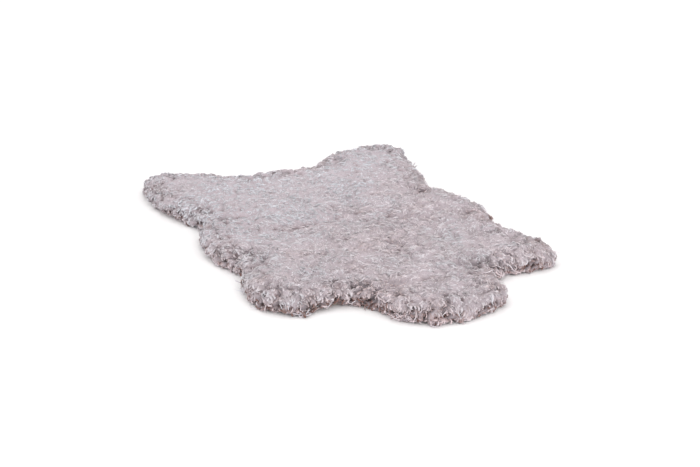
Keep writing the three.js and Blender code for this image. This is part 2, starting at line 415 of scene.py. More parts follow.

# %% [markdown]
# ## Openings
#
# Here and there the wool falls open, and the eye looks down to its foot, painted darker and browner
# as shade: in short dashes along the partings between the legs and over the back, seldom elsewhere on
# the back, and often round the rim. Each opening is a small long hollow on the underwool. The locks
# beside it lean away from it, few grow in it, and those near it are painted darker as shade.

# %% Openings
PARTINGS = [  # in mm from the rug's middle
    {"between": "neck and left foreleg", "start": (-186, -378), "end": (-60, -338)},
    {"between": "neck and right foreleg", "start": (128, -385), "end": (100, -300)},
    {"between": "left flank and foreleg", "start": (-300, -150), "end": (-215, -120)},
    {"between": "left haunch and flank", "start": (-265, 135), "end": (-180, 115)},
    {"between": "right haunch and flank", "start": (265, 135), "end": (190, 105)},
    {"between": "back, left", "start": (-186, 31), "end": (-90, 12)},
    {"between": "back, middle", "start": (-90, 12), "end": (-16, 30)},
    {"between": "back, right", "start": (20, 0), "end": (90, 0)},
    {"between": "shoulder", "start": (-30, -350), "end": (30, -360)},
]
PARTING_STRENGTH = 0.85  # how open a parting is at most, from 0 to 1
PARTING_WANDER = 6 * MM  # how far its openings stray from its line
OPENING_TRIES = 1700
OPENING_APART = 12.5 * MM
OPENING_LONG = 8.5 * MM  # half its length, at most
OPENING_WIDE = 3.5 * MM  # half its width
OPENING_TURN = 0.35  # how far its way strays
ON_THE_BACK = 0.005  # how likely an opening is there, where 1 is the rim
SHADE_SPREAD = 1.5  # how far its shade reaches over the locks beside it, in its own sizes
LEAN_SPREAD = 2  # how far off locks still lean away from it, in its own sizes
LEAN_AWAY = 1.5  # how strongly, where their own lean is about 1

STRAYS = [  # tufts that lie out on the floor, in mm from the rug's middle
    {"by": "left flank", "at": (-330, -170), "wide": 9 * MM},
    {"by": "left foreleg", "at": (-250, -352), "wide": 16 * MM},
    {"by": "neck", "at": (-98, -440), "wide": 9 * MM},
    {"by": "left hind leg", "at": (-135, 425), "wide": 9 * MM},
    {"by": "right hind leg", "at": (290, 330), "wide": 7 * MM},
]

chooser = np.random.default_rng(71)
surface = np.column_stack([outwards * on_wall[:, None], 1 - on_wall])
surface /= np.linalg.norm(surface, axis=1, keepdims=True)
openings = []
for parting in PARTINGS:
    start, end = np.array(parting["start"]) * MM, np.array(parting["end"]) * MM
    way = (end - start) / np.linalg.norm(end - start)
    for along in np.arange(0, np.linalg.norm(end - start), OPENING_APART):
        spot = start + way * along + chooser.normal(0, PARTING_WANDER, 2)
        openings.append((gaps(flat_out, spot).argmin(), np.array([*way, 0])))
patchy = eased(swells(plan, 55 * MM, 72) + 0.8 * swells(plan, 21 * MM, 73), -0.9, 0.3)
by_rim = 0.2 * eased(deep, 45 * MM, 4 * MM)
likely = ON_THE_BACK + (by_rim + on_wall) * patchy * (1 - 0.5 * back_left)
likely[bed_points[:, 2] < 6 * MM] = 0  # too near the floor to show
strength = 0.45 + by_rim + 0.6 * on_wall
for number, _ in openings:
    strength[number] = PARTING_STRENGTH * chooser.uniform(0.3, 1)
for number in chooser.choice(len(bed_points), OPENING_TRIES, replace=False, p=likely / likely.sum()):
    taken = [opening[0] for opening in openings]
    if np.linalg.norm(bed_points[taken] - bed_points[number], axis=1).min() > OPENING_APART:
        openings.append((number, np.cross(surface[number], falling[number])))

opened = np.zeros(len(bed_points))
beside = np.zeros(len(bed_points))
away = np.zeros((len(bed_points), 3))
for number, way in openings:
    way = way + chooser.normal(0, OPENING_TURN, 3) * np.linalg.norm(way)
    way = way / np.linalg.norm(way)
    offset = bed_points - bed_points[number]
    lengthwise = offset @ way
    crosswise = offset - lengthwise[:, None] * way
    across = np.linalg.norm(crosswise, axis=1)
    far = np.hypot(lengthwise / (OPENING_LONG * chooser.uniform(0.5, 1)), across / OPENING_WIDE)
    opened = np.maximum(opened, strength[number] * np.exp(-far**2))
    beside = np.maximum(beside, strength[number] * np.exp(-(far / SHADE_SPREAD) ** 2))
    away += crosswise / (across[:, None] + 0.1 * MM) * np.exp(-(far / LEAN_SPREAD) ** 2)[:, None]
falling += LEAN_AWAY * away
# Painted shade: locks near an opening are darker, more so on the wall.
tone -= (0.35 + 0.25 * on_wall) * beside
warm = 0.4 - 0.35 * back_left + 0.3 * on_wall + 0.45 * beside
warm += 0.4 * swells(plan, 60 * MM, 81) + 0.25 * swells(plan, 20 * MM, 82)
straying = np.zeros(len(bed_points))
for stray in STRAYS:
    gap = (gaps(plan, edge_near(stray["at"])) - 10 * MM).clip(0)
    straying = np.maximum(straying, on_wall * np.exp(-((gap / stray["wide"]) ** 2)))
falling[:, 2] += 0.6 * straying
tone += 0.2 * straying
reach += 0.35 * straying
print(len(openings), "openings")

# %% [markdown]
# The underwool keeps all this point by point, where the tufts and the locks can read it.

# %% Attributes
for name, kind, values in (
    ("lean", "FLOAT_VECTOR", falling),
    ("reach", "FLOAT", reach),
    ("tone", "FLOAT", tone),
    ("warm", "FLOAT", warm),
    ("wall", "FLOAT", on_wall),
    ("tufted", "FLOAT", tufted),
    ("curly", "FLOAT", curly),
    ("opened", "FLOAT", opened),
    ("straying", "FLOAT", straying),
    ("region", "INT", region.astype(np.int32)),
):
    attribute = underwool.data.attributes.new(name, kind, "POINT")
    attribute.data.foreach_set("vector" if kind == "FLOAT_VECTOR" else "value", values.ravel())

# %% [markdown]
# ## Wool, as a material
#
# Wool is matt and a little downy: light spreads in it and grazes off its fibres. Its colour is paler
# at the tips and darker and browner at the root, partly from the grease there and partly as painted
# shade, for the shade of the locks above it. A lock's own map runs round it and along it, so the
# shader can draw its fibres lengthwise. The map is an atlas of 16 by 16 looks: its columns go from dark
# to pale, where the dark ones carry painted shade as well as the wool's own tone, and its rows from
# cool to warm. Every lock lies in one cell, so thousands of locks share one small picture.

# %% Wool material
ATLAS = 16
TIP_PALE = "#ECEBF3"
TIP_DARK = "#D9C8CA"
# Painted shade at the tips of the darkest locks, in crevices and openings.
TIP_PAINTED_SHADE = "#8E726C"
ROOT_PALE = "#D6CDD4"
# The dark root colour is grease and painted shade, and is also the painted shade in the openings.
ROOT_DARK = "#7D605A"
UNDERWOOL_PALE = "#CFC6CC"
UNDERWOOL_DARK = "#A3949A"
COOL_TINT = (0.955, 1.012, 1.012)  # greyer wool, on the smooth light back
WARM_TINT = (1.035, 0.965, 0.95)  # pinker wool, round the rim and beside openings
FIBRES_ROUND = 11  # fibre lines drawn round a lock, coarser than real ones, so that they show
FIBRE_WAVES = 3  # changes along a fibre
NEXT_FIBRES = (7.3, 3.1, 0)  # how far the fibre pattern moves on from one cell to the next
CRIMP_SIZE = 2.2 * MM  # coarser than real crimp, so that it shows


def wool():
    """Sheared wool: crimped fibres in curly locks, washed and undyed."""
    material, tree = new_material("curly wool, washed")
    place = add(tree, "ShaderNodeUVMap", uv_map="OFBake")
    spread = add(tree, VECTOR_MATH, {0: place, 1: (ATLAS,) * 3}, operation="MULTIPLY")
    cell = add(tree, VECTOR_MATH, {0: spread}, operation="FLOOR")
    own = add(tree, VECTOR_MATH, {0: spread}, operation="FRACTION")
    own_parts = add(tree, "ShaderNodeSeparateXYZ", {0: own})
    cell_parts = add(tree, "ShaderNodeSeparateXYZ", {0: cell})
    pale, warmth = [
        add(tree, MATH, {0: cell_parts.outputs[axis], 1: ATLAS - 1}, operation="DIVIDE")
        for axis in ("X", "Y")
    ]
    look = add(tree, "ShaderNodeTexWhiteNoise", {"Vector": cell})

    # Fibres: fine lines that run along the lock, other ones in each cell.
    fibre_place = add(tree, VECTOR_MATH, {0: own, 1: (FIBRES_ROUND, FIBRE_WAVES, 1)}, operation="MULTIPLY")
    fibre_own = add(tree, VECTOR_MATH, {0: cell, 1: NEXT_FIBRES}, operation="MULTIPLY")
    fibre_at = add(tree, VECTOR_MATH, {0: fibre_place, 1: fibre_own}, operation="ADD")
    fibres = add(tree, "ShaderNodeTexNoise", {"Vector": fibre_at, "Scale": 1, "Detail": 2})

    # Colour: dark or pale by the cell, browner at the root from grease and painted shade, then cool or
    # warm.
    tip, root = [
        add(tree, "ShaderNodeMix", {0: pale, 6: linear(dark), 7: linear(light)}, data_type="RGBA")
        for dark, light in ((TIP_DARK, TIP_PALE), (ROOT_DARK, ROOT_PALE))
    ]
    # Painted shade: the darkest cells, in crevices and openings, turn their tips dark and brown too.
    lit = add(tree, "ShaderNodeMapRange", {"Value": pale, "From Max": 0.3}, interpolation_type="SMOOTHSTEP")
    tip = add(tree, "ShaderNodeMix", {0: lit, 6: linear(TIP_PAINTED_SHADE), 7: tip}, data_type="RGBA")
    rise = add(
        tree, "ShaderNodeMapRange", {"Value": own_parts.outputs["Y"], "From Min": 0.05, "From Max": 0.62},
        interpolation_type="SMOOTHSTEP",
    )
    along = add(tree, "ShaderNodeMix", {0: rise, 6: root, 7: tip}, data_type="RGBA")
    fibre_shade = add(
        tree, "ShaderNodeMapRange",
        {"Value": fibres, "From Min": 0.3, "From Max": 0.7, "To Min": 0.9, "To Max": 1.17},
    )
    look_shade = add(tree, "ShaderNodeMapRange", {"Value": look, "To Min": 0.93, "To Max": 1.06})
    shade = add(tree, MATH, {0: fibre_shade, 1: look_shade}, operation="MULTIPLY")
    tint = add(tree, "ShaderNodeMix", {0: warmth, 4: COOL_TINT, 5: WARM_TINT}, data_type="VECTOR")
    tinted = add(tree, VECTOR_MATH, {0: along, 1: tint}, operation="MULTIPLY")
    colour = add(tree, VECTOR_MATH, {0: tinted, "Scale": shade}, operation="SCALE")
    bump = add(tree, "ShaderNodeBump", {"Strength": 0.6, "Distance": 0.4 * MM, "Height": fibres})
    fleece = add(
        tree, "ShaderNodeBsdfPrincipled",
        {
            "Base Color": colour, "Roughness": 0.88, "Specular IOR Level": 0.25,
            "Sheen Weight": 0.25, "Sheen Roughness": 0.5, "Normal": bump,
        },
    )
    add(tree, "ShaderNodeOutputMaterial", {"Surface": fleece})
    return material


def underwool_finish():
    """Dense underwool, short and crimped, with painted shade: darker between tufts, browner in openings."""
    material, tree = new_material("dense underwool")
    place = add(tree, "ShaderNodeTexCoord").outputs["Object"]
    crevice, opened = [
        add(tree, "ShaderNodeAttribute", attribute_name=name).outputs["Fac"]
        for name in ("crevice", "opened")
    ]
    crimp = add(tree, "ShaderNodeTexNoise", {"Vector": place, "Scale": 1 / CRIMP_SIZE, "Detail": 6})
    colour = add(
        tree, "ShaderNodeMix", {0: crimp, 6: linear(UNDERWOOL_DARK), 7: linear(UNDERWOOL_PALE)},
        data_type="RGBA",
    )
    # Painted shade: darker and browner in the openings, darker in the crevices between tufts.
    colour = add(tree, "ShaderNodeMix", {0: opened, 6: colour, 7: linear(ROOT_DARK)}, data_type="RGBA")
    deep_down = add(tree, MATH, {0: crevice, 1: opened}, operation="ADD")
    shade = add(
        tree, "ShaderNodeMapRange",
        {"Value": deep_down, "From Min": 0.3, "From Max": 1.2, "To Min": 1, "To Max": 0.3},
    )
    shaded = add(tree, VECTOR_MATH, {0: colour, "Scale": shade}, operation="SCALE")
    bump = add(tree, "ShaderNodeBump", {"Strength": 0.7, "Distance": 1.5 * MM, "Height": crimp})
    down = add(
        tree, "ShaderNodeBsdfPrincipled",
        {
            "Base Color": shaded, "Roughness": 0.95, "Specular IOR Level": 0.15,
            "Sheen Weight": 0.15, "Normal": bump,
        },
    )
    add(tree, "ShaderNodeOutputMaterial", {"Surface": down})
    return material


wool_finish = wool()
down_finish = underwool_finish()

# %% [markdown]
# ## Tufts
#
# Wool doesn't grow in single hairs: it gathers in tufts, each a soft dome about as wide as two
# fingers, with a crevice round it. A Voronoi pattern gives such cells. One tree presses the crevices
# between them into the underwool, and keeps each point's place in the pattern, so that the locks can
# gather in the same tufts.

# %% Tufts in the underwool
TUFT_SIZE = 27 * MM
TUFT_DEPTH = 9 * MM
DRIFT_SIZE = 38 * MM  # of the patches in which the cells drift, so that they aren't all alike
UNEVEN_SIZE = 55 * MM  # of the patches with deeper or shallower tufts


def new_tree(name, inputs):
    """A geometry tree with a geometry in and out, and named inputs: numbers, or kinds of thing."""
    tree = bpy.data.node_groups.new(name, "GeometryNodeTree")
    tree.interface.new_socket("Geometry", in_out="INPUT", socket_type="NodeSocketGeometry")
    for title, value in inputs.items():
        kind = {float: "Float", int: "Int"}.get(type(value), value)
        socket = tree.interface.new_socket(title, in_out="INPUT", socket_type=f"NodeSocket{kind}")
        if kind != value:
            socket.default_value = value
    tree.interface.new_socket("Geometry", in_out="OUTPUT", socket_type="NodeSocketGeometry")
    return tree, add(tree, "NodeGroupInput").outputs


def grow(tree, base, name, **choices):
    """A plain mesh object: the base mesh after the tree, with its inputs set by identifier."""
    items = tree.interface.items_tree
    identifiers = {item.name: item.identifier for item in items if item.in_out == "INPUT"}
    grown = bpy.data.objects.new(name, base.data.copy())
    scene.collection.objects.link(grown)
    growing = grown.modifiers.new(tree.name, "NODES")
    growing.node_group = tree
    for choice, value in choices.items():
        growing[identifiers[choice]] = value
    evaluated = grown.evaluated_get(bpy.context.evaluated_depsgraph_get())
    mesh = bpy.data.meshes.new_from_object(evaluated)
    grown.modifiers.clear()
    grown.data = mesh
    mesh.name = name
    return grown


def centred(tree, colour):
    """A pattern's colour as a vector round zero."""
    return add(tree, VECTOR_MATH, {0: colour, 1: (0.5, 0.5, 0.5)}, operation="SUBTRACT")


def wandering(tree, place, size, by):
    """A shift that wanders smoothly from place to place, in patches of the given size."""
    noise = add(tree, "ShaderNodeTexNoise", {"Vector": place, "Scale": 1 / size, "Detail": 1})
    either_way = centred(tree, noise.outputs["Color"])
    return add(tree, VECTOR_MATH, {0: either_way, "Scale": by}, operation="SCALE")


def kept_above(tree, vector, lowest):
    """The vector, with its Z raised to the lowest one allowed."""
    parts = add(tree, "ShaderNodeSeparateXYZ", {0: vector}).outputs
    raised = add(tree, MATH, {0: parts["Z"], 1: lowest}, operation="MAXIMUM")
    return add(tree, "ShaderNodeCombineXYZ", {0: parts["X"], 1: parts["Y"], 2: raised})


def tuft_tree():
    """Presses the crevices between tufts, and the openings, into the underwool."""
    tree, given = new_tree("tufts", {
        "TuftSize": TUFT_SIZE, "TuftDepth": TUFT_DEPTH, "TuftDrift": 45 * MM, "OpeningDepth": 8 * MM,
        "Underside": BED_UNDERSIDE, "Finish": "Material",
    })
    here = add(tree, "GeometryNodeInputPosition")
    upright = add(tree, "GeometryNodeInputNormal")
    tufted, opened = [
        add(tree, "GeometryNodeInputNamedAttribute", {"Name": name}, data_type="FLOAT")
        for name in ("tufted", "opened")
    ]
    fineness = add(tree, MATH, {0: 1.0, 1: given["TuftSize"]}, operation="DIVIDE")
    drift = wandering(tree, here, DRIFT_SIZE, given["TuftDrift"])
    place = add(tree, VECTOR_MATH, {0: here, 1: drift}, operation="ADD")
    edge = add(
        tree, "ShaderNodeTexVoronoi", {"Vector": place, "Scale": fineness}, feature="DISTANCE_TO_EDGE"
    )
    uneven = add(tree, "ShaderNodeTexNoise", {"Vector": here, "Scale": 1 / UNEVEN_SIZE, "Detail": 0})
    uneven = add(
        tree, "ShaderNodeMapRange",
        {"Value": uneven, "From Min": 0.3, "From Max": 0.7, "To Min": 0.45, "To Max": 1.25},
    )
    tufted = add(tree, MATH, {0: tufted, 1: uneven}, operation="MULTIPLY")
    dome = add(
        tree, "ShaderNodeMapRange", {"Value": edge.outputs["Distance"], "From Max": 0.26},
        interpolation_type="SMOOTHSTEP",
    )
    crevice = add(tree, MATH, {0: 1.0, 1: dome}, operation="SUBTRACT")
    crevice = add(tree, MATH, {0: crevice, 1: tufted}, operation="MULTIPLY")
    depth = add(tree, MATH, {0: given["TuftDepth"], 1: tufted}, operation="MULTIPLY")
    rise = add(tree, MATH, {0: dome, 1: 0.6}, operation="SUBTRACT")
    rise = add(tree, MATH, {0: rise, 1: depth}, operation="MULTIPLY")
    hollow = add(tree, MATH, {0: opened, 1: given["OpeningDepth"]}, operation="MULTIPLY")
    rise = add(tree, MATH, {0: rise, 1: hollow}, operation="SUBTRACT")
    shift = add(tree, VECTOR_MATH, {0: upright, "Scale": rise}, operation="SCALE")
    kept = given["Geometry"]
    # The crevice is kept as well, where the underwool and the locks are painted darker as shade.
    for name, value, kind in (("place", place, "FLOAT_VECTOR"), ("crevice", crevice, "FLOAT")):
        kept = add(
            tree, "GeometryNodeStoreNamedAttribute", {"Geometry": kept, "Name": name, "Value": value},
            data_type=kind,
        )
    pressed = add(tree, "GeometryNodeSetPosition", {"Geometry": kept, "Offset": shift})
    lifted = kept_above(tree, here, given["Underside"])
    laid = add(tree, "GeometryNodeSetPosition", {"Geometry": pressed, "Position": lifted})
    finished = add(tree, "GeometryNodeSetMaterial", {"Geometry": laid, "Material": given["Finish"]})
    add(tree, "NodeGroupOutput", {"Geometry": finished})
    return tree


smooth_underwool = underwool
smooth_underwool.name = "smooth underwool"
underwool = grow(tuft_tree(), smooth_underwool, "underwool", Finish=down_finish)
bpy.data.objects.remove(smooth_underwool)
print("tufts pressed in:", len(underwool.data.vertices), "points")

# %% [markdown]
# ## One lock
#
# A lock is a bundle of crimped fibres that rises, bends over and curls at its tip. At the rug's scale
# it can be a three-sided strand with smooth shading, which costs only 16 or 22 triangles, so there
# can be tens of thousands. A few different curls are modelled, pointing up from the origin and
# falling towards +X. Each keeps how far along it a point is, and its map.

# %% Lock shapes
LOCK_KINDS = [
    {
        "kind": "wavy", "count": 8, "length": 13 * MM, "width": 1.9 * MM,
        "first_bend": (66, 82), "last_bend": (90, 118), "wave": (0.6, 1.4), "turns": (4, 7),
        "stations": [0, 0.33, 0.66, 1], "fullness": [0.9, 1.05, 0.9],
    },
    {
        "kind": "curled", "count": 8, "length": 17 * MM, "width": 4.1 * MM,
        "first_bend": (28, 58), "last_bend": (190, 330), "wave": (0.3, 1.0), "turns": (2, 5),
        "stations": [0, 0.25, 0.5, 0.75, 1], "fullness": [0.8, 1.0, 1.05, 0.9],
    },
    {
        "kind": "wispy", "count": 4, "length": 30 * MM, "width": 2.6 * MM,
        "first_bend": (45, 70), "last_bend": (90, 130), "wave": (0.3, 0.9), "turns": (3, 7),
        "stations": [0, 0.25, 0.5, 0.75, 1], "fullness": [1.0, 1.0, 0.8, 0.55],
    },
]
SIDES = 3
PATH_STEPS = 40
MAP_MARGIN = 0.06  # left free round each cell of the atlas, so that cells don't bleed into each other


def lock_shape(kind, number):
    """A strand with closed ends, its own map and its share of the way along."""
    rng = np.random.default_rng(700 + number)
    fine = np.linspace(0, 1, PATH_STEPS + 1)
    first_bend, last_bend = rng.uniform(*kind["first_bend"]), rng.uniform(*kind["last_bend"])
    bend = np.radians(first_bend + (last_bend - first_bend) * fine ** rng.uniform(0.7, 1.2))
    wave = rng.uniform(*kind["wave"])
    turn = wave * np.sin(fine * rng.uniform(*kind["turns"]) + rng.uniform(0, 6))
    heading = np.column_stack([np.sin(bend) * np.cos(turn), np.sin(bend) * np.sin(turn), np.cos(bend)])
    path = np.vstack([[0, 0, 0], np.cumsum((heading[1:] + heading[:-1]) / 2, axis=0) / PATH_STEPS])
    stations, fullness = kind["stations"], kind["fullness"]
    at = [np.array([np.interp(s, fine, path[:, k]) for k in range(3)]) * kind["length"] for s in stations]
    way = [np.array([np.interp(s, fine, heading[:, k]) for k in range(3)]) for s in stations]
    points, faces, maps, along = [], [], [], []
    twist = rng.uniform(-1.5, 1.5)
    rings = len(stations) - 1
    for i in range(rings):
        side = np.cross(way[i], [0.2, 1, 0.1])
        side /= np.linalg.norm(side)
        other = np.cross(way[i], side)
        radius = kind["width"] / 2 * fullness[i] * rng.uniform(0.9, 1.1)
        for corner in range(SIDES):
            angle = math.tau * corner / SIDES + twist * stations[i]
            points.append(at[i] + radius * (math.cos(angle) * side + math.sin(angle) * other))
            along.append(stations[i])
    points.append(at[-1])
    along.append(1.0)
    tip = len(points) - 1
    for i in range(rings):
        low, high = stations[i], stations[i + 1]
        for corner in range(SIDES):
            a, b = SIDES * i + corner, SIDES * i + (corner + 1) % SIDES
            left, right = corner / SIDES, (corner + 1) / SIDES
            if i == rings - 1:
                faces.append((a, b, tip))
                maps += [(left, low), (right, low), ((left + right) / 2, high)]
            else:
                faces += [(a, b, b + SIDES), (a, b + SIDES, a + SIDES)]
                maps += [(left, low), (right, low), (right, high)]
                maps += [(left, low), (right, high), (left, high)]
    faces.append((2, 1, 0))
    maps += [(0.5, 0.0), (0.52, 0.0), (0.51, 0.02)]
    lock = bpy.data.meshes.new(f"lock shape {number:02d}")
    lock.from_pydata([tuple(p) for p in points], [], faces)
    lock.shade_smooth()
    uv = lock.uv_layers.new(name="OFBake")
    uv.data.foreach_set("uv", (MAP_MARGIN + (1 - 2 * MAP_MARGIN) * np.array(maps)).ravel())
    lock.attributes.new("along", "FLOAT", "POINT").data.foreach_set("value", along)
    lock.materials.append(wool_finish)
    return bpy.data.objects.new(lock.name, lock)


lock_shapes = bpy.data.collections.new("lock shapes")
for kind in LOCK_KINDS:
    for _ in range(kind["count"]):
        lock_shapes.objects.link(lock_shape(kind, len(lock_shapes.objects)))

# %% [markdown]
# ## Growing the locks
#
# Geometry Nodes scatter the locks over the underwool, evenly but at random. A Voronoi pattern
# gathers neighbours into clumps: all the locks of one cell share a nudge to their lean, their length
# and their tone, and their tips are drawn to the cell's middle. What would go through the floor is
# laid on it. Light must spread over a lock as it does over a soft mass, so its shading normals lean
# towards those of the fleece below it, more on the back than at the rim. The tree ends with real
# triangles, because instances aren't exported.

# %% Lock tree
LOCK_SPACING = 3.46 * MM
DENSEST = 250000.0  # locks in a square metre, which is more than the spacing lets through
LOCK_CRIMP_SIZE = 11 * MM
LOCK_CRIMP = 6 * MM  # how far the crimp moves a tip


def lock_tree():
    """Grows locks on one region of the underwool, lays them on the floor and maps them."""
    tree, given = new_tree("wool locks", {
        "Region": 0, "Spacing": LOCK_SPACING, "TuftSize": TUFT_SIZE, "TuftLean": 0.9, "Gather": 0.4,
        "Stray": 0.6, "Wisps": 0.05, "RimWildness": 1.2, "Softness": 3.2, "RimSoftness": 0.6,
        "Floor": 0.4 * MM, "LaidThickness": 0.8 * MM, "Seed": 7,
        "Shapes": "Collection", "Finish": "Material",
    })
    named = {
        name: add(tree, "GeometryNodeInputNamedAttribute", {"Name": name}, data_type=kind)
        for kind, names in (
            ("FLOAT_VECTOR", ("lean", "place", "gather", "cell", "surface", "OFBake")),
            ("FLOAT", ("reach", "tone", "warm", "wall", "crevice", "curly", "opened", "straying", "along")),
            ("INT", ("region",)),
        )
        for name in names
    }
    random = {
        name: add(tree, "FunctionNodeRandomValue", {2: low, 3: high, "Seed": seed}, data_type="FLOAT")
        for name, low, high, seed in (
            ("length", 0.8, 1.15, 5), ("width", 0.85, 1.2, 6), ("tone", -0.04, 0.04, 8),
            ("warmth", -0.12, 0.12, 9), ("wispy", 0, 1, 15), ("curly", 0, 1, 16),
        )
    }
    here = add(tree, "GeometryNodeInputPosition")

    # Where locks grow: everywhere, but few in an opening.
    closed = add(tree, MATH, {0: named["opened"], 1: -0.9, 2: 1.0}, operation="MULTIPLY_ADD")
    scattered = add(
        tree, "GeometryNodeDistributePointsOnFaces",
        {
            "Mesh": given["Geometry"], "Distance Min": given["Spacing"], "Density Max": DENSEST,
            "Density Factor": closed, "Seed": given["Seed"],
        },
        distribute_method="POISSON",
    )

    # Which way a lock leans: its place's lean, its clump's and its own, wilder on the rim.
    fineness = add(tree, MATH, {0: 1.0, 1: given["TuftSize"]}, operation="DIVIDE")
    clump = add(tree, "ShaderNodeTexVoronoi", {"Vector": named["place"], "Scale": fineness})
    clump_own = centred(tree, clump.outputs["Color"])
    wilder = add(tree, MATH, {0: named["wall"], 1: given["RimWildness"], 2: 1.0}, operation="MULTIPLY_ADD")
    stray = add(
        tree, "FunctionNodeRandomValue", {0: (-1, -1, -0.4), 1: (1, 1, 0.4), "Seed": 3},
        data_type="FLOAT_VECTOR",
    )
    leaning = named["lean"]
    for nudge, share in ((clump_own, given["TuftLean"]), (stray, given["Stray"])):
        by = add(tree, MATH, {0: share, 1: wilder}, operation="MULTIPLY")
        nudge = add(tree, VECTOR_MATH, {0: nudge, "Scale": by}, operation="SCALE")
        leaning = add(tree, VECTOR_MATH, {0: leaning, 1: nudge}, operation="ADD")
    tilted = add(tree, VECTOR_MATH, {0: leaning, "Scale": 0.2}, operation="SCALE")
    rising = add(tree, VECTOR_MATH, {0: scattered.outputs["Normal"], 1: tilted}, operation="ADD")
    turned = add(
        tree, "FunctionNodeAxesToRotation", {"Primary Axis": rising, "Secondary Axis": leaning},
        primary_axis="Z", secondary_axis="X",
    )

    # How long and wide it is.
    clump_parts = add(tree, "ShaderNodeSeparateXYZ", {0: clump_own}).outputs
    size = add(tree, MATH, {0: clump_parts["X"], 1: 0.35, 2: 1.0}, operation="MULTIPLY_ADD")
    size = add(tree, MATH, {0: random["length"], 1: size}, operation="MULTIPLY")
    size = add(tree, MATH, {0: size, 1: named["reach"]}, operation="MULTIPLY")
    scale = add(tree, "ShaderNodeCombineXYZ", {0: size, 1: random["width"], 2: size})

    # How far its tip is drawn to the clump's middle, along the surface.
    to_clump = add(
        tree, VECTOR_MATH, {0: clump.outputs["Position"], 1: named["place"]}, operation="SUBTRACT"
    )
    upwards = add(tree, VECTOR_MATH, {0: to_clump, 1: scattered.outputs["Normal"]}, operation="PROJECT")
    to_clump = add(tree, VECTOR_MATH, {0: to_clump, 1: upwards}, operation="SUBTRACT")
    gather = add(tree, VECTOR_MATH, {0: to_clump, "Scale": given["Gather"]}, operation="SCALE")

    # Which shape it has: wavy on the back, curled on the rim, and now and then wispy.
    wavy_count, curled_count, wispy_count = [kind["count"] for kind in LOCK_KINDS]
    any_wavy, any_wispy = [
        add(tree, "FunctionNodeRandomValue", {4: 0, 5: count - 1, "Seed": seed}, data_type="INT")
        for count, seed in ((wavy_count, 4), (wispy_count, 14))
    ]
    curly = add(tree, MATH, {0: named["curly"], 1: random["curly"]}, operation="GREATER_THAN")
    top_or_rim = add(tree, MATH, {0: curly, 1: wavy_count, 2: any_wavy}, operation="MULTIPLY_ADD")
    wispy = add(tree, MATH, {0: any_wispy, 1: wavy_count + curled_count}, operation="ADD")
    share = add(tree, MATH, {0: curly, 1: given["Wisps"], 2: named["straying"]}, operation="MULTIPLY_ADD")
    is_wispy = add(tree, MATH, {0: random["wispy"], 1: share}, operation="LESS_THAN")
    which = add(
        tree, "GeometryNodeSwitch", {"Switch": is_wispy, "False": top_or_rim, "True": wispy},
        input_type="INT",
    )

    # Which cell of the atlas it takes: its column is how pale it is, and its row how warm.
    varied = add(tree, MATH, {0: named["wall"], 1: 6.0, 2: 1.0}, operation="MULTIPLY_ADD")
    pale = named["tone"]
    # Painted shade: a lock is darker in the crevices between tufts.
    for what, by in (
        (clump_parts["Y"], 0.14), (random["tone"], varied), (named["crevice"], -0.3), (is_wispy, 0.15),
    ):
        pale = add(tree, MATH, {0: what, 1: by, 2: pale}, operation="MULTIPLY_ADD")
    warmth = add(tree, MATH, {0: random["warmth"], 1: named["warm"]}, operation="ADD")
    in_grid = []
    for share in (pale, warmth):
        share = add(tree, "ShaderNodeClamp", {0: share})
        share = add(tree, MATH, {0: share, 1: ATLAS - 0.01}, operation="MULTIPLY")
        in_grid.append(add(tree, MATH, {0: share}, operation="FLOOR"))
    cell = add(tree, "ShaderNodeCombineXYZ", {0: in_grid[0], 1: in_grid[1]})

    # Each lock carries these, because they can't be looked up once it is real.
    kept = scattered
    for name, value in (("gather", gather), ("cell", cell), ("surface", scattered.outputs["Normal"])):
        kept = add(
            tree, "GeometryNodeStoreNamedAttribute", {"Geometry": kept, "Name": name, "Value": value},
            data_type="FLOAT_VECTOR",
        )
    in_region = add(
        tree, "FunctionNodeCompare", {2: named["region"], 3: given["Region"]},
        data_type="INT", operation="EQUAL",
    )
    shapes = add(
        tree, "GeometryNodeCollectionInfo",
        {"Collection": given["Shapes"], "Separate Children": True, "Reset Children": True},
    )
    placed = add(
        tree, "GeometryNodeInstanceOnPoints",
        {
            "Points": kept, "Selection": in_region, "Instance": shapes, "Pick Instance": True,
            "Instance Index": which, "Rotation": turned, "Scale": scale,
        },
    )
    real = add(tree, "GeometryNodeRealizeInstances", {0: placed})

    # Its shape in place: drawn together, crimped, and laid on the floor.
    late = add(tree, MATH, {0: named["along"], 1: 1.6}, operation="POWER")
    drawn = add(tree, VECTOR_MATH, {0: named["gather"], "Scale": late}, operation="SCALE")
    crimp_by = add(tree, MATH, {0: late, 1: LOCK_CRIMP}, operation="MULTIPLY")
    crimped = wandering(tree, here, LOCK_CRIMP_SIZE, crimp_by)
    moved = add(tree, VECTOR_MATH, {0: drawn, 1: crimped}, operation="ADD")
    shaped = add(tree, "GeometryNodeSetPosition", {"Geometry": real, "Offset": moved})
    thick = add(tree, "ShaderNodeTexWhiteNoise", {"Vector": here})
    thick = add(
        tree, MATH, {0: thick, 1: given["LaidThickness"], 2: given["Floor"]},
        operation="MULTIPLY_ADD",
    )
    on_floor = kept_above(tree, here, thick)
    laid = add(tree, "GeometryNodeSetPosition", {"Geometry": shaped, "Position": on_floor})

    in_atlas = add(tree, VECTOR_MATH, {0: named["OFBake"], 1: named["cell"]}, operation="ADD")
    in_atlas = add(tree, VECTOR_MATH, {0: in_atlas, "Scale": 1 / ATLAS}, operation="SCALE")
    mapped = add(
        tree, "GeometryNodeStoreNamedAttribute", {"Geometry": laid, "Name": "OFBake", "Value": in_atlas},
        data_type="FLOAT2", domain="CORNER",
    )

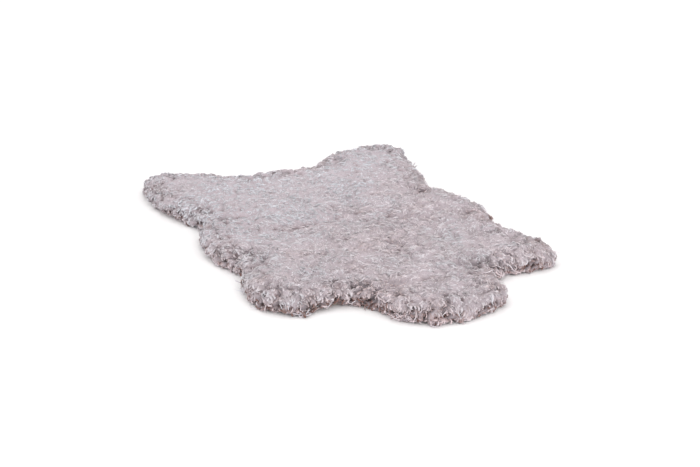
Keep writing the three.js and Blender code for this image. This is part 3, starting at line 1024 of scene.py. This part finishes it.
    # Its normals: its own, and those of the surface below it, which never point to the floor.
    facing = add(tree, "ShaderNodeSeparateXYZ", {0: named["surface"]}).outputs["Z"]
    soften_by = add(
        tree, "ShaderNodeMapRange",
        {
            "Value": facing, "From Min": 0.2, "From Max": 0.95,
            "To Min": given["RimSoftness"], "To Max": given["Softness"],
        },
    )
    softer = kept_above(tree, named["surface"], 0.3)
    softer = add(tree, VECTOR_MATH, {0: softer, "Scale": soften_by}, operation="SCALE")
    own_normal = add(tree, "GeometryNodeInputNormal")
    softer = add(tree, VECTOR_MATH, {0: softer, 1: own_normal}, operation="ADD")
    softer = add(tree, VECTOR_MATH, {0: softer}, operation="NORMALIZE")
    soft = add(
        tree, "GeometryNodeSetMeshNormal", {"Mesh": mapped, "Custom Normal": softer},
        mode="FREE", domain="POINT",
    )
    finished = add(tree, "GeometryNodeSetMaterial", {"Geometry": soft, "Material": given["Finish"]})
    add(tree, "NodeGroupOutput", {"Geometry": finished})
    return tree


locks = lock_tree()

# %% [markdown]
# Each region is grown on its own, from the same tree, and keeps only its map and its normals.

# %% Grow each region
KEPT_ATTRIBUTES = ("OFBake", "custom_normal")

wool_pieces = []
for number, name in enumerate(REGIONS):
    wool_piece = grow(locks, underwool, name, Region=number, Shapes=lock_shapes, Finish=wool_finish)
    attributes = wool_piece.data.attributes
    for spare in [attribute.name for attribute in attributes if attribute.name not in KEPT_ATTRIBUTES]:
        if not attributes[spare].is_internal and not attributes[spare].is_required:
            attributes.remove(attributes[spare])
    wool_pieces.append(wool_piece)
    print(name, len(wool_piece.data.polygons), "triangles")

# %% [markdown]
# ## The skin
#
# The skin is a sheet about two millimetres thick. Its upper side is hidden by the wool, and its
# underside is suede: the flesh side, shaved and buffed to a short velvety nap.

# %% Skin
SUEDE_PALE = "#E2D5C2"
SUEDE_DARK = "#C9B79F"
CLOUD_SIZE = 90 * MM
NAP_SIZE = 2.5 * MM  # coarser than real nap, so that it shows
SKIN_LIFT = 0.2 * MM
SKIN_THICKNESS = 1.8 * MM
SKIN_PROFILE = [  # from the underside up
    {"out": -0.4 * MM, "height": 0},
    {"out": 0.2 * MM, "height": 0.3 * MM},
    {"out": 0.2 * MM, "height": 1.4 * MM},
    {"out": -0.6 * MM, "height": SKIN_THICKNESS},
]


def suede():
    """Buffed suede: the flesh side of a tanned skin, ivory, with cloudy tanning and a fine nap."""
    material, tree = new_material("buffed suede, tanned")
    place = add(tree, "ShaderNodeTexCoord").outputs["Object"]
    clouds, nap = [
        add(tree, "ShaderNodeTexNoise", {"Vector": place, "Scale": 1 / size, "Detail": 5})
        for size in (CLOUD_SIZE, NAP_SIZE)
    ]
    mixed = add(
        tree, "ShaderNodeMix", {0: clouds, 6: linear(SUEDE_DARK), 7: linear(SUEDE_PALE)}, data_type="RGBA"
    )
    shade = add(tree, "ShaderNodeMapRange", {"Value": nap, "To Min": 0.85, "To Max": 1.1})
    colour = add(tree, VECTOR_MATH, {0: mixed, "Scale": shade}, operation="SCALE")
    bump = add(tree, "ShaderNodeBump", {"Strength": 0.4, "Distance": 0.5 * MM, "Height": nap})
    leather = add(
        tree, "ShaderNodeBsdfPrincipled",
        {
            "Base Color": colour, "Roughness": 0.92, "Specular IOR Level": 0.2,
            "Sheen Weight": 0.3, "Normal": bump,
        },
    )
    add(tree, "ShaderNodeOutputMaterial", {"Surface": leather})
    return material


trim = skin_edge + outward * (0.8 * MM * swells(skin_edge, 17 * MM, 61))[:, None]
skin_points = [
    np.column_stack([trim + outward * row["out"], np.full(ring_count, SKIN_LIFT + row["height"])])
    for row in SKIN_PROFILE
]
skin_points.append(np.array([[*middle, SKIN_LIFT], [*middle, SKIN_LIFT + SKIN_THICKNESS]]))
below = len(SKIN_PROFILE) * ring_count
above = below + 1
top_ring = below - ring_count
skin_faces = []
for i, j in ring_edges:
    skin_faces += [(below, j, i), (above, i + top_ring, j + top_ring)]
    for low in range(0, top_ring, ring_count):
        high = low + ring_count
        skin_faces.append((low + i, low + j, high + j, high + i))
skin_sheet = new_object("skin", np.vstack(skin_points), skin_faces)
skin_sheet.data.materials.append(suede())
print("skin:", len(skin_sheet.data.vertices), "points")

# %% [markdown]
# ## Belonging to the frame
#
# All the layers ride on the rug's one body and together stand for its one solid, which is hidden.

# %% Frame calls
pieces = [underwool, skin_sheet, *wool_pieces]
for piece in pieces:
    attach(piece, "root")
    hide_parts("pelt")

# %% [markdown]
# ## Floor and light
#
# The floor is plain and nearly white. A large soft light from above and behind, a little to the
# right, rakes over the locks. A soft light from the front and a bright even sky fill the shade, so
# that the wool stays pale.

# %% Floor
FLOOR_REACH = 7  # metres, to each side


def floor_finish():
    """Matt white paint on a studio floor."""
    material = bpy.data.materials.new("matt studio paint")
    material.use_nodes = True
    shader = material.node_tree.nodes["Principled BSDF"]
    shader.inputs["Base Color"].default_value = linear("#F6F5F5")
    shader.inputs["Roughness"].default_value = 0.86
    return material


floor_corners = [(x * FLOOR_REACH, y * FLOOR_REACH, 0) for x, y in ((-1, -1), (1, -1), (1, 1), (-1, 1))]
floor = new_object("floor", floor_corners, [(0, 1, 2, 3)])
floor.data.materials.append(floor_finish())

# %% [markdown]
# The lights face the rug's middle.

# %% Light
SKY_STRENGTH = 1.115
LIGHTS = [
    {"name": "overhead", "place": (0.5, 1.2, 2.8), "size": 2.4, "power": 14},
    {"name": "front fill", "place": (0.3, -2.8, 1.3), "size": 2.4, "power": 16},
]
for row in LIGHTS:
    lamp = bpy.data.objects.new(row["name"], bpy.data.lights.new(row["name"], "AREA"))
    lamp.data.shape = "DISK"
    lamp.data.size = row["size"]
    lamp.data.energy = row["power"]
    lamp.location = row["place"]
    lamp.rotation_euler = (-Vector(row["place"])).to_track_quat("-Z", "Y").to_euler()
    scene.collection.objects.link(lamp)

world = bpy.data.worlds.new("studio")
scene.world = world
world.use_nodes = True
sky = world.node_tree.nodes["Background"]
sky.inputs["Color"].default_value = linear("#FBFAFA")
sky.inputs["Strength"].default_value = SKY_STRENGTH
scene.view_settings.view_transform = "Standard"
